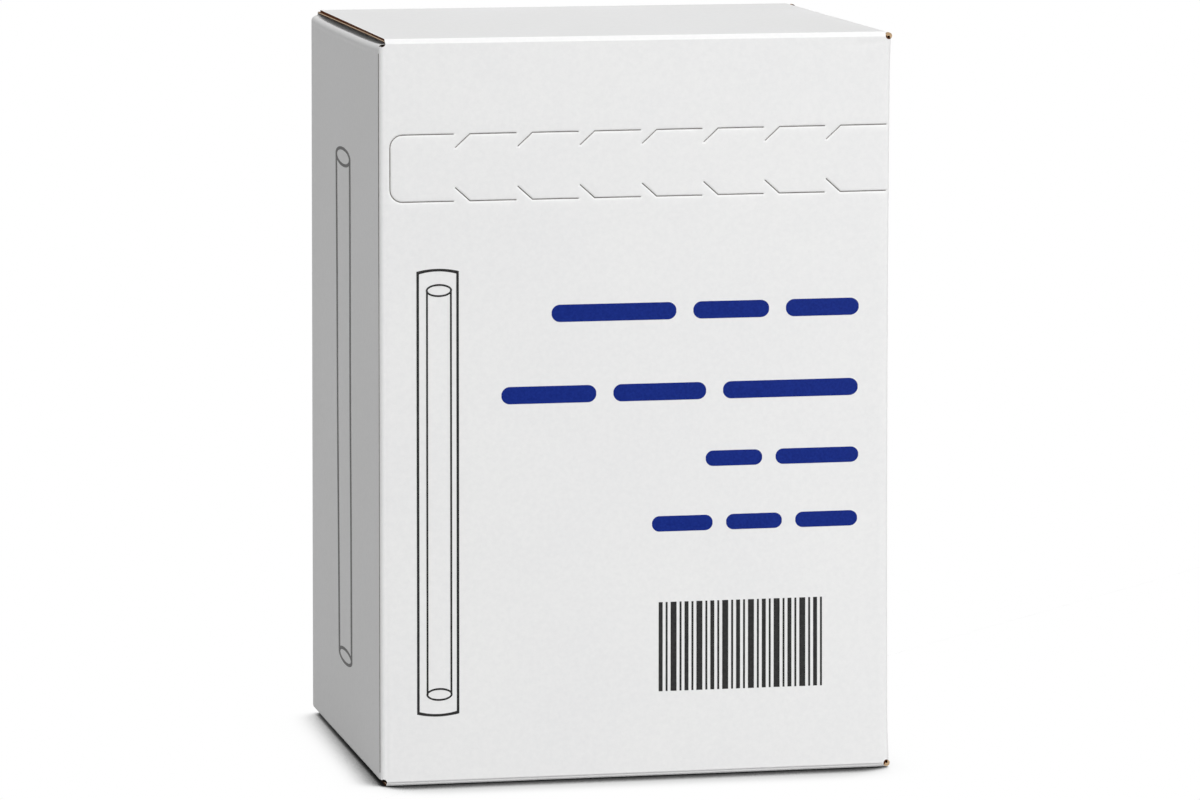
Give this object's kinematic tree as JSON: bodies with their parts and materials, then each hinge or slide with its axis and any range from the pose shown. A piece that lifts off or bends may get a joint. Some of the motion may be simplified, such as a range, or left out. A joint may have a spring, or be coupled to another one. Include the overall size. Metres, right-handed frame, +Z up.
{
  "type": "drinking straw carton",
  "caption": "Sealed white folding carton for wrapped drinking straws, standing upright, with glued flap ends and a zipper tear strip near the top.",
  "frame": {"origin": "middle of the base, on the ground", "axes": "+Z up, the printed front panel faces -Y, the glued side seam is at the corner of -X and +Y"},
  "size_m": [0.1526, 0.124, 0.219],
  "materials": {
    "carton_board": "satin white coated board with a brown raw edge"
  },
  "bodies": {
    "root": {"carton": "carton_board"}
  },
  "joints": []
}
